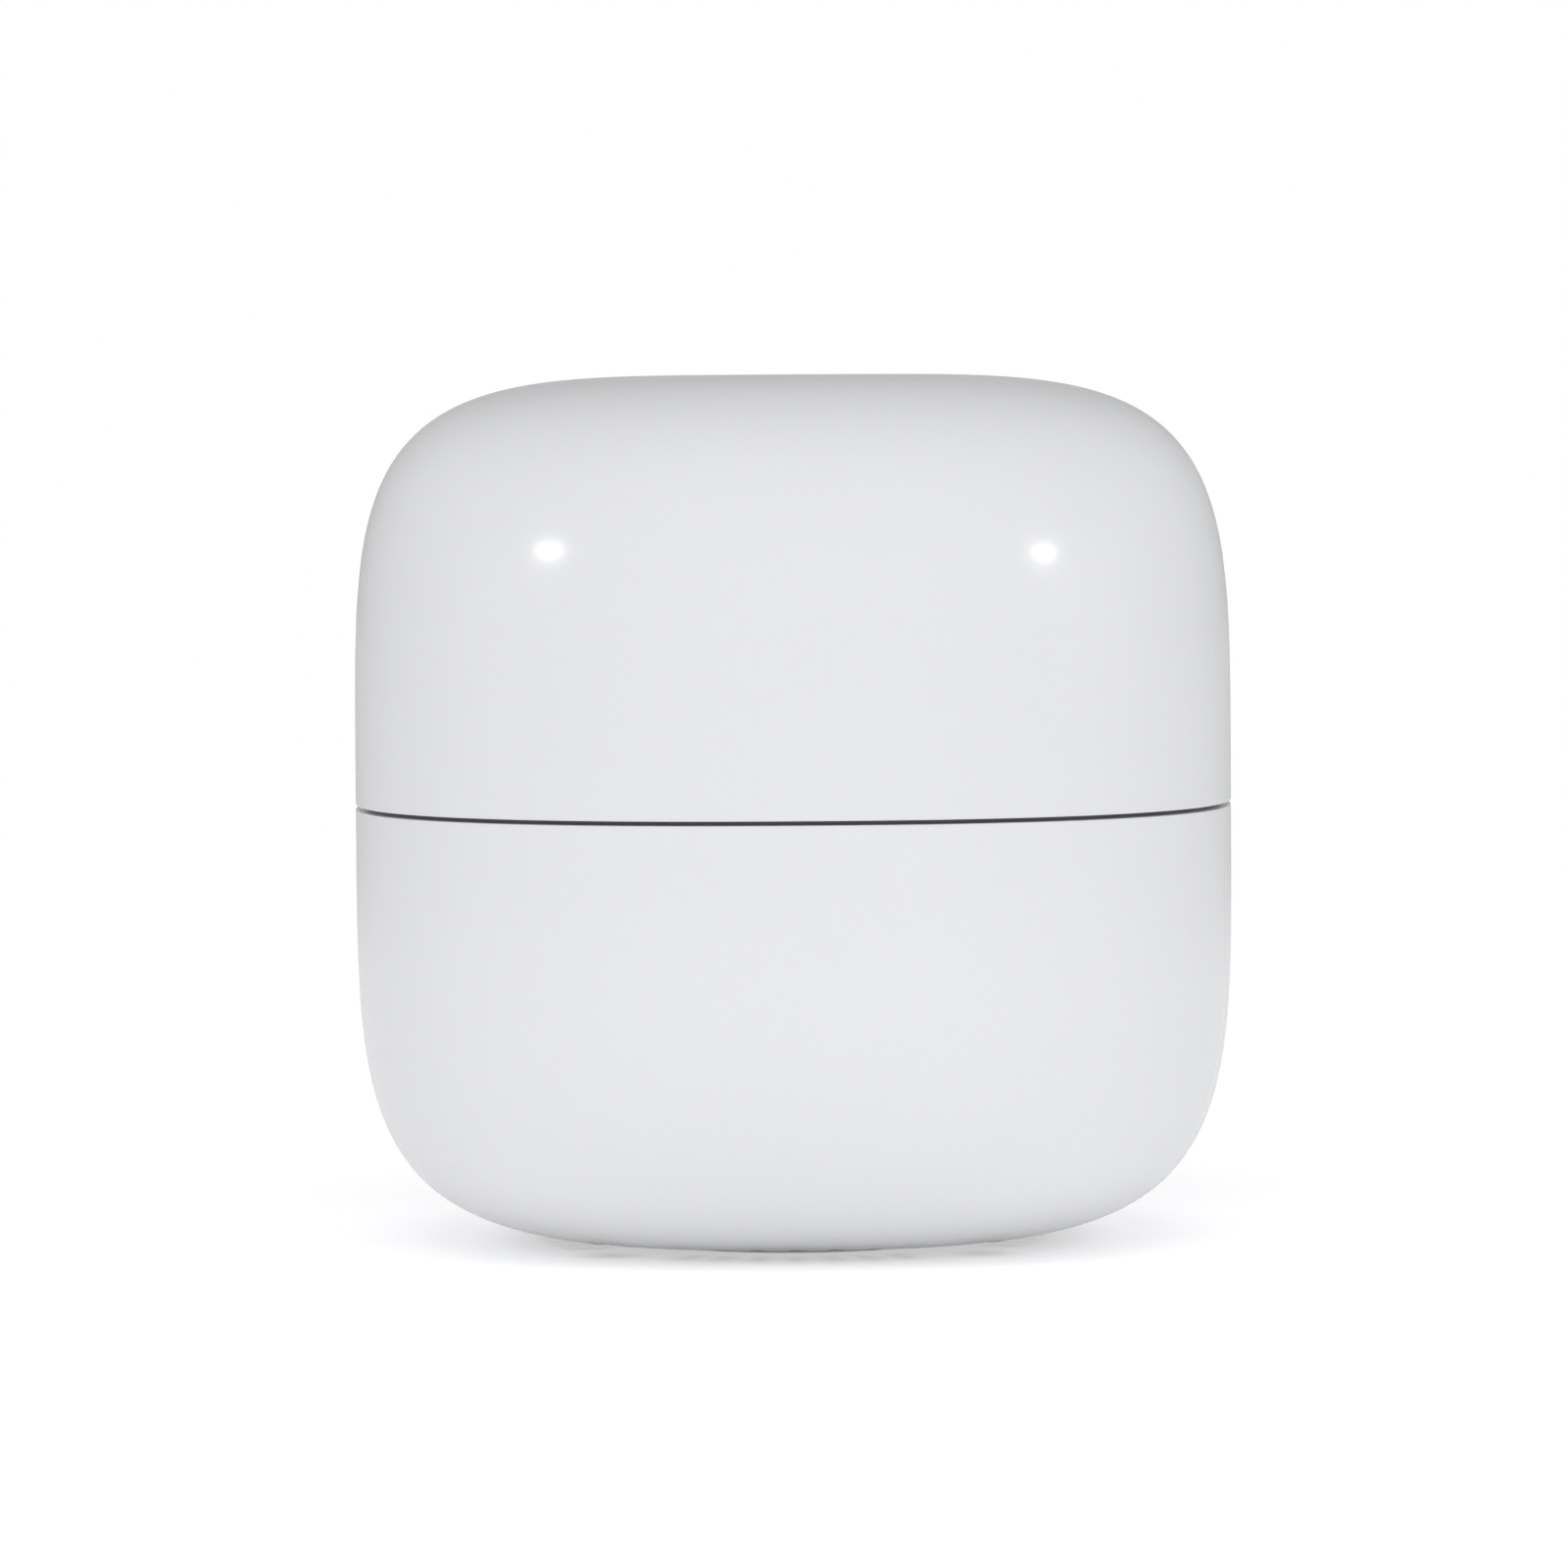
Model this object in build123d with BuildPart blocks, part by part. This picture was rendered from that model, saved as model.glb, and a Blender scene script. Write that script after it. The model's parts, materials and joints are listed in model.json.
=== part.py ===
from build123d import *
import os
from math import atan, cos, pi, radians, sin

os.makedirs("parts", exist_ok=True)

# A desktop mesh wifi node. The body is a soft cube, split half way up by a shadow groove.
# Frame: millimetres, +Z up, origin on the table under the middle, front at -Y, ports at +Y.

# ------------------------------------------------------------------ body form
HALF_WIDTH = 44.0
PLAN_EXPONENT = 2.4  # the plan is a squircle: 2 is a circle, and more is squarer
UPPER_HEIGHT = 43.0
UPPER_EXPONENT = 4.67  # the same for the upright profile above the seam
LOWER_HEIGHT = 43.8
LOWER_EXPONENT = 4.42
WALL = 2.2
FOOT_PROUD = 0.25
SEAM_Z = FOOT_PROUD + LOWER_HEIGHT
GROOVE_HEIGHT = 0.42
GROOVE_DEPTH = 1.2
LIP_RADIUS = 0.15

# ------------------------------------------------------------------ joining ring inside the seam
RING_OUTER = HALF_WIDTH - WALL - 0.1
RING_INNER = RING_OUTER - 2.0
RING_REACH = 5.0
CATCH_WIDTH = 8.0
CATCH_HEIGHT = 1.2
CATCH_DEPTH = 0.7
CATCH_RISE = 2.7
CATCH_CLEARANCE = 0.2

# ------------------------------------------------------------------ underside
BASE_TOP_Z = 2.9
BASE_HALF = 27.85
BASE_GAP = 0.15
LEDGE_INNER = 26.0
LEDGE_OUTER = 31.0
LEDGE_THICKNESS = 2.0
BASE_SCREW = 18.5
BASE_BOSS_RADIUS = 3.0
BASE_BOSS_HEIGHT = 7.5
BASE_SCREW_SEAT_Z = 2.1
BASE_SCREW_LENGTH = 7.0
FOOT_RING = 14.5
FOOT_WIDTH = 4.4
FOOT_SPAN = 60.0
FOOT_TOP_Z = 1.7
FOOT_EDGE_RADIUS = 0.3
FOOT_GAP = 0.1
VENT_RING = 23.2
VENT_LENGTH = 5.2
VENT_WIDTH = 1.4
VENT_STEP = 9
VENT_CLEAR_OF_SCREW = 14
LABEL_WIDTH = 18.0
LABEL_DEPTH = 13.0
LABEL_CORNER = 1.2
LABEL_GAP = 0.2
LABEL_BOTTOM_Z = FOOT_PROUD + 0.1
LABEL_THICKNESS = 0.15

# ------------------------------------------------------------------ main board
BOARD_HALF = 37.0
BOARD_REAR_Y = 31.0
BOARD_THICKNESS = 1.6
BOARD_BOTTOM_Z = 14.4
BOARD_TOP_Z = BOARD_BOTTOM_Z + BOARD_THICKNESS
BOARD_SCREWS = ((-26, -20), (26, -20), (-30, 20), (30, 20))
POST_RADIUS = 2.8
POST_FOOT_Z = 4.0

# ------------------------------------------------------------------ fasteners
SCREW_SHANK = 1.1
SCREW_THREAD_GAP = 0.05
SCREW_CLEARANCE = 0.2
PAN_HEAD_RADIUS = 2.2
PAN_HEAD_HEIGHT = 0.8
BOARD_HEAD_HEIGHT = 1.5
BOARD_SCREW_LENGTH = 7.0
HEAD_CHAMFER = 0.25
DRIVE_WIDTH = 0.5
DRIVE_LENGTH = 2.4
DRIVE_DEPTH = 0.45

# ------------------------------------------------------------------ rear port recess
PORT_WIDTH = 55.0
PORT_HEIGHT = 16.4
PORT_CORNER = 2.5
PORT_RIM_RADIUS = 0.4
PORT_ABOVE_BOARD_BOTTOM = 0.2
PORT_Z = BOARD_BOTTOM_Z + PORT_ABOVE_BOARD_BOTTOM + PORT_HEIGHT / 2
TUNNEL_WALL = 1.5
PANEL_FACE_Y = 34.4
PANEL_THICKNESS = 1.8
PANEL_GAP = 0.1
FLANGE_THICKNESS = 1.2
FLANGE_GAP = 0.3
TUNNEL_Y = PANEL_FACE_Y - PANEL_THICKNESS
JACK_PROUD = 0.2
JACK_FACE_Y = PANEL_FACE_Y + JACK_PROUD
JACK_CUTOUT_GAP = 0.2

# ------------------------------------------------------------------ network jacks
NETWORK_JACKS = {"wan": -9.5, "lan": 7.5}
JACK_WIDTH = 16.0
JACK_HEIGHT = 13.4
JACK_LENGTH = 18.0
SHIELD_THICKNESS = 0.3
SOCKET_WIDTH = 11.9
SOCKET_HEIGHT = 7.0
SOCKET_BOTTOM_Z = BOARD_TOP_Z + 3.8
SOCKET_TOP_Z = SOCKET_BOTTOM_Z + SOCKET_HEIGHT
SOCKET_BACK_Y = 21.0
LATCH_WIDTH = 6.4
LATCH_DROP = 2.2
JACK_LAMP_X = 5.2
JACK_LAMP_WIDTH = 3.0
JACK_LAMP_HEIGHT = 1.5
JACK_LAMP_LENGTH = 9.0
JACK_LAMP_Z = BOARD_TOP_Z + 11.95
CONTACT_COUNT = 8
CONTACT_PITCH = 1.02
CONTACT_WIDTH = 0.4
CONTACT_THICKNESS = 0.3
CONTACT_DROP = 2.3
CONTACT_FRONT_Y = 33.0
CONTACT_FRONT_LENGTH = 1.0
CONTACT_BEND_Y = 23.5

# ------------------------------------------------------------------ power jack
POWER_X = 21.5
POWER_WIDTH = 9.0
POWER_HEIGHT = 11.4
POWER_LENGTH = 14.0
POWER_AXIS_Z = BOARD_TOP_Z + 6.2
POWER_HOLE_RADIUS = 3.15
POWER_HOLE_DEPTH = 10.5
POWER_PIN_RADIUS = 1.0
POWER_PIN_LENGTH = 9.3
POWER_PIN_NOSE = 0.5
POWER_HOLE_BACK_Y = JACK_FACE_Y - POWER_HOLE_DEPTH
POWER_SLOT_WIDTH = 2.4
POWER_SLOT_HEIGHT = 1.8
POWER_SLOT_Z = POWER_AXIS_Z - POWER_HOLE_RADIUS - 1.2
POWER_SLOT_FRONT_Y = JACK_FACE_Y - 1.0
POWER_SLOT_LENGTH = 8.5
# The side spring rises from its root to a crest in the hole, then dips at its free end.
SPRING_WIDTH = 1.8
SPRING_SHEET = 0.3
SPRING_ROOT_Y = 26.0
SPRING_CREST_Y = 31.4
SPRING_CREST_RISE = 1.2
SPRING_TIP_Y = 33.2
SPRING_TIP_RISE = 0.5

# ------------------------------------------------------------------ reset button
RESET_X = -21.5
RESET_Z = BOARD_TOP_Z + 3.3
RESET_CAP_RADIUS = 2.2
RESET_HOLE_RADIUS = 2.5
RESET_CAP_FACE_Y = PANEL_FACE_Y + 0.5
RESET_CAP_FILLET = 0.4
RESET_FLANGE_RADIUS = 2.9
RESET_FLANGE_THICKNESS = 0.8
RESET_STEM_RADIUS = 1.0
RESET_FLANGE_Y = 30.0
RESET_STEM_END_Y = 28.2
RESET_PLUNGER_END_Y = 26.0
SWITCH_FACE_Y = 27.0
SWITCH_BACK_Y = 23.5
SWITCH_HOLE_BACK_Y = 25.2
SWITCH_WIDTH = 6.0
SWITCH_HEIGHT = 5.4
SWITCH_HOLE_RADIUS = 1.3

# ------------------------------------------------------------------ status light
LAMP_Z = BOARD_TOP_Z + 1.2
PIPE_RADIUS = 1.5
PIPE_INNER_Y = -37.2
PIPE_OUTER_Y = -42.0
PIPE_GAP = 0.05
PIPE_SOCKET_RADIUS = 2.8
PIPE_SOCKET_Y = -38.4
LAMP_WIDTH = 2.6
LAMP_DEPTH = 1.2
LAMP_HEIGHT = 1.4
LAMP_Y = -36.2

# ------------------------------------------------------------------ board components
# name: centre x, centre y, width, depth, height
CHIPS = {
    "soc_chip": (0, -8, 15, 15, 1.4),
    "memory_chip": (0, 4.6, 12, 8, 1.0),
    "flash_chip": (-12, 4, 6, 5, 1.1),
    "phy_chip": (11.6, -0.5, 7, 7, 0.9),
    "power_chip": (11.5, -20, 5, 5, 0.9),
}
CHIP_CHAMFER = 0.15
PIN_MARK_INSET = 1.0
PIN_MARK_RADIUS = 0.4
PIN_MARK_DEPTH = 0.1
CRYSTAL_PLACE = (12, -8)
CRYSTAL_WIDTH = 3.2
CRYSTAL_DEPTH = 2.5
CRYSTAL_HEIGHT = 0.8
CRYSTAL_CORNER = 0.4
# Small resistors and capacitors: a row in front of the processor, and a column on each side.
PASSIVE_LENGTH = 1.0
PASSIVE_WIDTH = 0.5
PASSIVE_HEIGHT = 0.35
PASSIVE_ROW_Y = -17.2
PASSIVE_ROW_XS = (-7, -5, -3, -1, 1, 3, 5, 7)
PASSIVE_LEFT_X = -9.2
PASSIVE_LEFT_YS = (-14, -12, -10, -8, -6, -4, -2)
PASSIVE_RIGHT_X = 9.2
PASSIVE_RIGHT_YS = (-14, -12, -10, -8, -6)
FILTER_X = 16.0
FILTER_YS = (7.5, 10.5, 13.5)
FILTER_WIDTH = 1.25
FILTER_DEPTH = 2.0
FILTER_HEIGHT = 0.9
CAN_X = 24.5
CAN_Y = -6.0
CAN_WIDTH = 13.0
CAN_DEPTH = 20.0
CAN_HEIGHT = 2.4
CAN_SHEET = 0.25
CAN_CORNER = 0.6
CAN_HOLE_RADIUS = 0.6
CAN_HOLE_PITCH_X = 3.0
CAN_HOLE_PITCH_Y = 3.5
CAN_HOLES_X = 3
CAN_HOLES_Y = 4
MAGNETICS_Y = 12.4
MAGNETICS_WIDTH = 12.7
MAGNETICS_DEPTH = 6.4
MAGNETICS_HEIGHT = 5.6
MAGNETICS_CHAMFER = 0.4
INDUCTOR_X = 21.0
INDUCTOR_YS = (8.5, 15.5)
INDUCTOR_SIDE = 6.0
INDUCTOR_HEIGHT = 3.0
INDUCTOR_CORNER = 1.0
INDUCTOR_CHAMFER = 0.3
CAPACITOR_X = -22.0
CAPACITOR_YS = (8.5, 16.0)
CAPACITOR_RADIUS = 3.15
CAPACITOR_HEIGHT = 7.7
CAPACITOR_FILLET = 0.6
BEAD_Z = BOARD_TOP_Z + 1.0
BEAD_HEIGHT = 0.5
BEAD_DEPTH = 0.3

# ------------------------------------------------------------------ heatsink
PAD_THICKNESS = 0.6
SINK_BASE_Z = BOARD_TOP_Z + CHIPS["soc_chip"][4] + PAD_THICKNESS
SINK_WIDTH = 34.0
SINK_DEPTH = 34.0
SINK_Y = -9.0
SINK_BASE_THICKNESS = 3.0
SINK_TOP_Z = 40.0
FIN_COUNT = 9
FIN_THICKNESS = 1.4
SINK_SCREWS = ((-14.5, -23.5), (14.5, 5.5))
SINK_SCREW_POCKET = 6.4
SINK_SCREW_HEAD = 1.6
SINK_SCREW_END_Z = 12.4
NUT_RADIUS = 2.3
NUT_THICKNESS = 1.6

# ------------------------------------------------------------------ antennas, drawn for the front
ANTENNA_TURNS = {"front": 0, "left": -90, "right": 90}
CARRIER_THICKNESS = 1.6
CARRIER_OUTER = RING_OUTER - 0.5
CARRIER_INNER = 27.0
CARRIER_Z = SEAM_Z + RING_REACH
WALL_HALF = 16.0
WALL_INNER_Y = -33.0
WALL_OUTER_Y = -34.6
WALL_TOP_Z = 74.0
GUSSET_X = 12.0
GUSSET_THICKNESS = 1.4
GUSSET_DEPTH = 6.0
GUSSET_TOP_Z = 66.0
ANTENNA_SHEET = 0.3
ANTENNA_WIDTH = 28.0
ANTENNA_HEIGHT = 19.0
ANTENNA_Z = 62.5
ANTENNA_CUT = 1.5
ANTENNA_CUT_LENGTH = 24.0
LEAD_RADIUS = 0.57
# The lead leaves its plug level, climbs through the hole by the wall, and ends on the antenna.
LEAD_Z = BOARD_TOP_Z + 1.5
LEAD_TURN_X = -16.5
LEAD_FOOT = (-19.0, -34.3, 24.0)
LEAD_NECK = (-19.0, -34.6, 48.0)
LEAD_BEND_X = -17.8
LEAD_BEND_Z = 56.0
LEAD_OFF_SHEET = 0.1
LEAD_END_X = -12.0
LEAD_END_Z = 57.0
LEAD_CORNERS = (1.8, 3.0, 6.0, 2.2)
LEAD_HOLE = (-18.85, -34.6)
LEAD_HOLE_RADIUS = 1.7
PLUG_X = -10.0
PLUG_Y = -33.0
PLUG_SIDE = 2.4
PLUG_HEIGHT = 2.3
PLUG_CHAMFER = 0.3


def squircle_face(half_width, count=40):
    """A face with the body's plan, on the XY plane."""
    points = []
    for step in range(count):
        angle = 2 * pi * step / count
        total = abs(cos(angle)) ** PLAN_EXPONENT + abs(sin(angle)) ** PLAN_EXPONENT
        reach = half_width * total ** (-1 / PLAN_EXPONENT)
        points.append(Vector(reach * cos(angle), reach * sin(angle)))
    return Face(Wire([Edge.make_spline(points, periodic=True)]))


def body_half(half_width, height, exponent, side, first_rise, steps=20, last_share=0.12):
    """The solid above (side 1) or below (side -1) the seam, lofted through level squircles."""
    first = atan(first_rise / height)
    last = atan(1 / last_share)
    with BuildPart() as half:
        for step in range(steps + 1):
            angle = first + (last - first) * step / steps
            reach = (cos(angle) ** exponent + sin(angle) ** exponent) ** (-1 / exponent)
            with BuildSketch(Plane.XY.offset(SEAM_Z + side * height * reach * sin(angle))):
                add(squircle_face(half_width * reach * cos(angle)))
        loft()
    return half.part


def wall_plane(y):
    """An upright plane at y, drawn in X and Z. A negative extrusion goes towards the rear."""
    return Plane.XZ.offset(-y)


def write_part(part, label):
    part.label = label
    export_step(part, f"parts/{label}.step")


upper_form = body_half(HALF_WIDTH, UPPER_HEIGHT, UPPER_EXPONENT, 1, GROOVE_HEIGHT / 2)
upper_hollow = body_half(HALF_WIDTH - WALL, UPPER_HEIGHT - WALL, UPPER_EXPONENT, 1, 0)
lower_form = body_half(HALF_WIDTH, LOWER_HEIGHT, LOWER_EXPONENT, -1, GROOVE_HEIGHT / 2)
lower_hollow = body_half(HALF_WIDTH - WALL, LOWER_HEIGHT - WALL, LOWER_EXPONENT, -1, 0)
fitting_room = body_half(
    HALF_WIDTH - WALL / 2, LOWER_HEIGHT - WALL / 2, LOWER_EXPONENT, -1, GROOVE_HEIGHT
)
flange_room = body_half(
    HALF_WIDTH - WALL - FLANGE_GAP, LOWER_HEIGHT - WALL - FLANGE_GAP, LOWER_EXPONENT, -1, 0
)


# ------------------------------------------------------------------ upper shell
with BuildPart() as upper_shell:
    add(upper_form)
    add(upper_hollow, mode=Mode.SUBTRACT)
    fillet(upper_shell.edges().group_by(Axis.Z)[0].sort_by(SortBy.LENGTH)[-1], LIP_RADIUS)
    # Pockets for the joining ring's catches, one in the middle of each side.
    with BuildSketch(Plane.XY.offset(SEAM_Z + CATCH_RISE - CATCH_CLEARANCE)):
        with PolarLocations(RING_OUTER, 4):
            Rectangle(2 * (CATCH_DEPTH + CATCH_CLEARANCE), CATCH_WIDTH + 2 * CATCH_CLEARANCE)
    extrude(amount=CATCH_HEIGHT + 2 * CATCH_CLEARANCE, mode=Mode.SUBTRACT)

write_part(upper_shell.part, "upper_shell")


# ------------------------------------------------------------------ lower shell
# Everything that stands inside the lower shell, cut back to the middle of its wall.
with BuildPart() as lower_fittings:
    # Bosses for the base screws, and posts that carry the main board.
    with BuildSketch(Plane.XY.offset(BASE_TOP_Z)):
        with GridLocations(2 * BASE_SCREW, 2 * BASE_SCREW, 2, 2):
            Circle(BASE_BOSS_RADIUS)
    extrude(amount=BASE_BOSS_HEIGHT)
    with BuildSketch(Plane.XY.offset(POST_FOOT_Z)):
        with Locations(*BOARD_SCREWS):
            Circle(POST_RADIUS)
    extrude(amount=BOARD_BOTTOM_Z - POST_FOOT_Z)
    # Walls of the port recess, and the socket of the light pipe.
    with BuildSketch(wall_plane(TUNNEL_Y)):
        with Locations((0, PORT_Z)):
            RectangleRounded(
                PORT_WIDTH + 2 * TUNNEL_WALL,
                PORT_HEIGHT + 2 * TUNNEL_WALL,
                PORT_CORNER + TUNNEL_WALL,
            )
    extrude(amount=TUNNEL_Y - HALF_WIDTH)
    with BuildSketch(wall_plane(PIPE_SOCKET_Y)):
        with Locations((0, LAMP_Z)):
            Circle(PIPE_SOCKET_RADIUS)
    extrude(amount=HALF_WIDTH + PIPE_SOCKET_Y)
    add(fitting_room, mode=Mode.INTERSECT)

with BuildPart() as lower_shell:
    add(lower_form)
    add(lower_hollow, mode=Mode.SUBTRACT)
    fillet(lower_shell.edges().group_by(Axis.Z)[-1].sort_by(SortBy.LENGTH)[-1], LIP_RADIUS)
    # Opening for the base plate, and the ledge that the plate closes against.
    with BuildSketch():
        add(squircle_face(BASE_HALF + BASE_GAP))
    extrude(amount=BASE_TOP_Z, mode=Mode.SUBTRACT)
    with BuildSketch():
        add(squircle_face(LEDGE_INNER))
    extrude(amount=BASE_TOP_Z + LEDGE_THICKNESS, mode=Mode.SUBTRACT)
    with BuildSketch(Plane.XY.offset(BASE_TOP_Z)):
        add(squircle_face(LEDGE_OUTER))
        add(squircle_face(LEDGE_INNER), mode=Mode.SUBTRACT)
    extrude(amount=LEDGE_THICKNESS)
    add(lower_fittings.part)
    # Port opening, with its outer rim rounded.
    with BuildSketch(wall_plane(TUNNEL_Y)):
        with Locations((0, PORT_Z)):
            RectangleRounded(PORT_WIDTH, PORT_HEIGHT, PORT_CORNER)
    extrude(amount=TUNNEL_Y - HALF_WIDTH, mode=Mode.SUBTRACT)
    cut_edges = lower_shell.edges(Select.LAST)
    rim = [edge for edge in cut_edges if edge.bounding_box().min.Y > PANEL_FACE_Y]
    fillet(rim, PORT_RIM_RADIUS)
    # Light pipe hole, screw holes and catch pockets.
    with BuildSketch(wall_plane(PIPE_INNER_Y)):
        with Locations((0, LAMP_Z)):
            Circle(PIPE_RADIUS + PIPE_GAP)
    extrude(amount=PIPE_INNER_Y - PIPE_OUTER_Y + PIPE_GAP, mode=Mode.SUBTRACT)
    with BuildSketch(Plane.XY.offset(BASE_TOP_Z)):
        with GridLocations(2 * BASE_SCREW, 2 * BASE_SCREW, 2, 2):
            Circle(SCREW_SHANK + SCREW_THREAD_GAP)
    extrude(amount=BASE_SCREW_LENGTH, mode=Mode.SUBTRACT)
    with BuildSketch(Plane.XY.offset(BOARD_BOTTOM_Z)):
        with Locations(*BOARD_SCREWS):
            Circle(SCREW_SHANK + SCREW_THREAD_GAP)
    extrude(amount=-BOARD_SCREW_LENGTH, mode=Mode.SUBTRACT)
    with BuildSketch(Plane.XY.offset(SEAM_Z - CATCH_RISE + CATCH_CLEARANCE)):
        with PolarLocations(RING_OUTER, 4):
            Rectangle(2 * (CATCH_DEPTH + CATCH_CLEARANCE), CATCH_WIDTH + 2 * CATCH_CLEARANCE)
    extrude(amount=-(CATCH_HEIGHT + 2 * CATCH_CLEARANCE), mode=Mode.SUBTRACT)

write_part(lower_shell.part, "lower_shell")


# ------------------------------------------------------------------ joining ring
with BuildPart() as mid_frame:
    with BuildSketch(Plane.XY.offset(SEAM_Z - RING_REACH)):
        add(squircle_face(RING_OUTER))
        add(squircle_face(RING_INNER), mode=Mode.SUBTRACT)
    extrude(amount=2 * RING_REACH)
    # The rim fills the bottom of the groove between the two lips.
    with BuildSketch(Plane.XY.offset(SEAM_Z - GROOVE_HEIGHT / 2)):
        add(squircle_face(HALF_WIDTH - GROOVE_DEPTH))
        add(squircle_face(RING_INNER), mode=Mode.SUBTRACT)
    extrude(amount=GROOVE_HEIGHT)
    with BuildSketch(Plane.XY.offset(SEAM_Z + CATCH_RISE)):
        with PolarLocations(RING_OUTER - CATCH_DEPTH / 2, 4):
            Rectangle(3 * CATCH_DEPTH, CATCH_WIDTH)
    extrude(amount=CATCH_HEIGHT)
    with BuildSketch(Plane.XY.offset(SEAM_Z - CATCH_RISE - CATCH_HEIGHT)):
        with PolarLocations(RING_OUTER - CATCH_DEPTH / 2, 4):
            Rectangle(3 * CATCH_DEPTH, CATCH_WIDTH)
    extrude(amount=CATCH_HEIGHT)

write_part(mid_frame.part, "mid_frame")


# ------------------------------------------------------------------ base plate
def foot_arc(middle, grown):
    """An arc-shaped pad outline around the direction `middle`, in degrees."""
    arc = Edge.make_circle(
        FOOT_RING, start_angle=middle - FOOT_SPAN / 2, end_angle=middle + FOOT_SPAN / 2
    )
    return SlotArc(arc, FOOT_WIDTH + 2 * grown, mode=Mode.PRIVATE)


vent_angles = [a for a in range(0, 360, VENT_STEP) if abs(a % 90 - 45) > VENT_CLEAR_OF_SCREW]
vent_places = [
    Location((VENT_RING * cos(radians(a)), VENT_RING * sin(radians(a))), (0, 0, a))
    for a in vent_angles
]

with BuildPart() as base_plate:
    with BuildSketch():
        add(squircle_face(BASE_HALF))
    extrude(amount=BASE_TOP_Z)
    add(lower_form, mode=Mode.INTERSECT)
    with BuildSketch():
        for middle in (0, 90, 180, 270):
            add(foot_arc(middle, FOOT_GAP))
    extrude(amount=FOOT_TOP_Z, mode=Mode.SUBTRACT)
    with BuildSketch():
        with Locations(*vent_places):
            SlotOverall(VENT_LENGTH, VENT_WIDTH)
    extrude(amount=BASE_TOP_Z, mode=Mode.SUBTRACT)
    with BuildSketch():
        RectangleRounded(LABEL_WIDTH + 2 * LABEL_GAP, LABEL_DEPTH + 2 * LABEL_GAP, LABEL_CORNER)
    extrude(amount=LABEL_BOTTOM_Z + LABEL_THICKNESS, mode=Mode.SUBTRACT)
    with BuildSketch():
        with GridLocations(2 * BASE_SCREW, 2 * BASE_SCREW, 2, 2):
            Circle(PAN_HEAD_RADIUS + SCREW_CLEARANCE)
    extrude(amount=BASE_SCREW_SEAT_Z, mode=Mode.SUBTRACT)
    with BuildSketch():
        with GridLocations(2 * BASE_SCREW, 2 * BASE_SCREW, 2, 2):
            Circle(SCREW_SHANK + SCREW_CLEARANCE)
    extrude(amount=BASE_TOP_Z, mode=Mode.SUBTRACT)

write_part(base_plate.part, "base_plate")


# ------------------------------------------------------------------ blank label and feet
with BuildPart() as rating_label:
    with BuildSketch(Plane.XY.offset(LABEL_BOTTOM_Z)):
        RectangleRounded(LABEL_WIDTH, LABEL_DEPTH, LABEL_CORNER)
    extrude(amount=LABEL_THICKNESS)

write_part(rating_label.part, "rating_label")

for side, middle in {"right": 0, "rear": 90, "left": 180, "front": 270}.items():
    with BuildPart() as foot:
        with BuildSketch():
            add(foot_arc(middle, 0))
        extrude(amount=FOOT_TOP_Z)
        fillet(foot.edges().group_by(Axis.Z)[0], FOOT_EDGE_RADIUS)
    write_part(foot.part, f"foot_{side}")


# ------------------------------------------------------------------ screws
def driven_screws(places, seat_z, towards, head_height, length):
    """Pan head screws at `places`. The head stands off the seat, and the shank goes `towards`."""
    with BuildPart() as screws:
        with BuildSketch(Plane.XY.offset(seat_z)):
            with Locations(*places):
                Circle(PAN_HEAD_RADIUS)
        extrude(amount=-towards * head_height)
        tops = screws.faces().group_by(Axis.Z)[0 if towards > 0 else -1]
        chamfer(tops.edges(), HEAD_CHAMFER)
        with BuildSketch(Plane.XY.offset(seat_z)):
            with Locations(*places):
                Circle(SCREW_SHANK)
        extrude(amount=towards * length)
        with BuildSketch(Plane.XY.offset(seat_z - towards * head_height)):
            with Locations(*places):
                Rectangle(DRIVE_LENGTH, DRIVE_WIDTH)
                Rectangle(DRIVE_WIDTH, DRIVE_LENGTH)
        extrude(amount=towards * DRIVE_DEPTH, mode=Mode.SUBTRACT)
    return screws.part


base_places = [(x, y) for x in (-BASE_SCREW, BASE_SCREW) for y in (-BASE_SCREW, BASE_SCREW)]
base_screws = driven_screws(base_places, BASE_SCREW_SEAT_Z, 1, PAN_HEAD_HEIGHT, BASE_SCREW_LENGTH)
write_part(base_screws, "base_screws")

board_screws = driven_screws(
    BOARD_SCREWS, BOARD_TOP_Z, -1, BOARD_HEAD_HEIGHT, BOARD_SCREW_LENGTH
)
write_part(board_screws, "board_screws")


# ------------------------------------------------------------------ main board
with BuildPart() as main_board:
    with BuildSketch(Plane.XY.offset(BOARD_BOTTOM_Z)):
        add(squircle_face(BOARD_HALF))
        with Locations((0, BOARD_REAR_Y)):
            Rectangle(2 * BOARD_HALF, BOARD_HALF, align=(Align.CENTER, Align.MIN), mode=Mode.SUBTRACT)
        with Locations(*BOARD_SCREWS, *SINK_SCREWS):
            Circle(SCREW_SHANK + SCREW_CLEARANCE, mode=Mode.SUBTRACT)
    extrude(amount=BOARD_THICKNESS)

write_part(main_board.part, "main_board")

for name, (x, y, width, depth, height) in CHIPS.items():
    with BuildPart() as chip:
        with BuildSketch(Plane.XY.offset(BOARD_TOP_Z)):
            with Locations((x, y)):
                Rectangle(width, depth)
        extrude(amount=height)
        chamfer(chip.faces().sort_by(Axis.Z)[-1].edges(), CHIP_CHAMFER)
        # A moulded dot marks the first pin.
        with BuildSketch(Plane.XY.offset(BOARD_TOP_Z + height)):
            with Locations((x - width / 2 + PIN_MARK_INSET, y + depth / 2 - PIN_MARK_INSET)):
                Circle(PIN_MARK_RADIUS)
        extrude(amount=-PIN_MARK_DEPTH, mode=Mode.SUBTRACT)
    write_part(chip.part, name)

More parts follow.
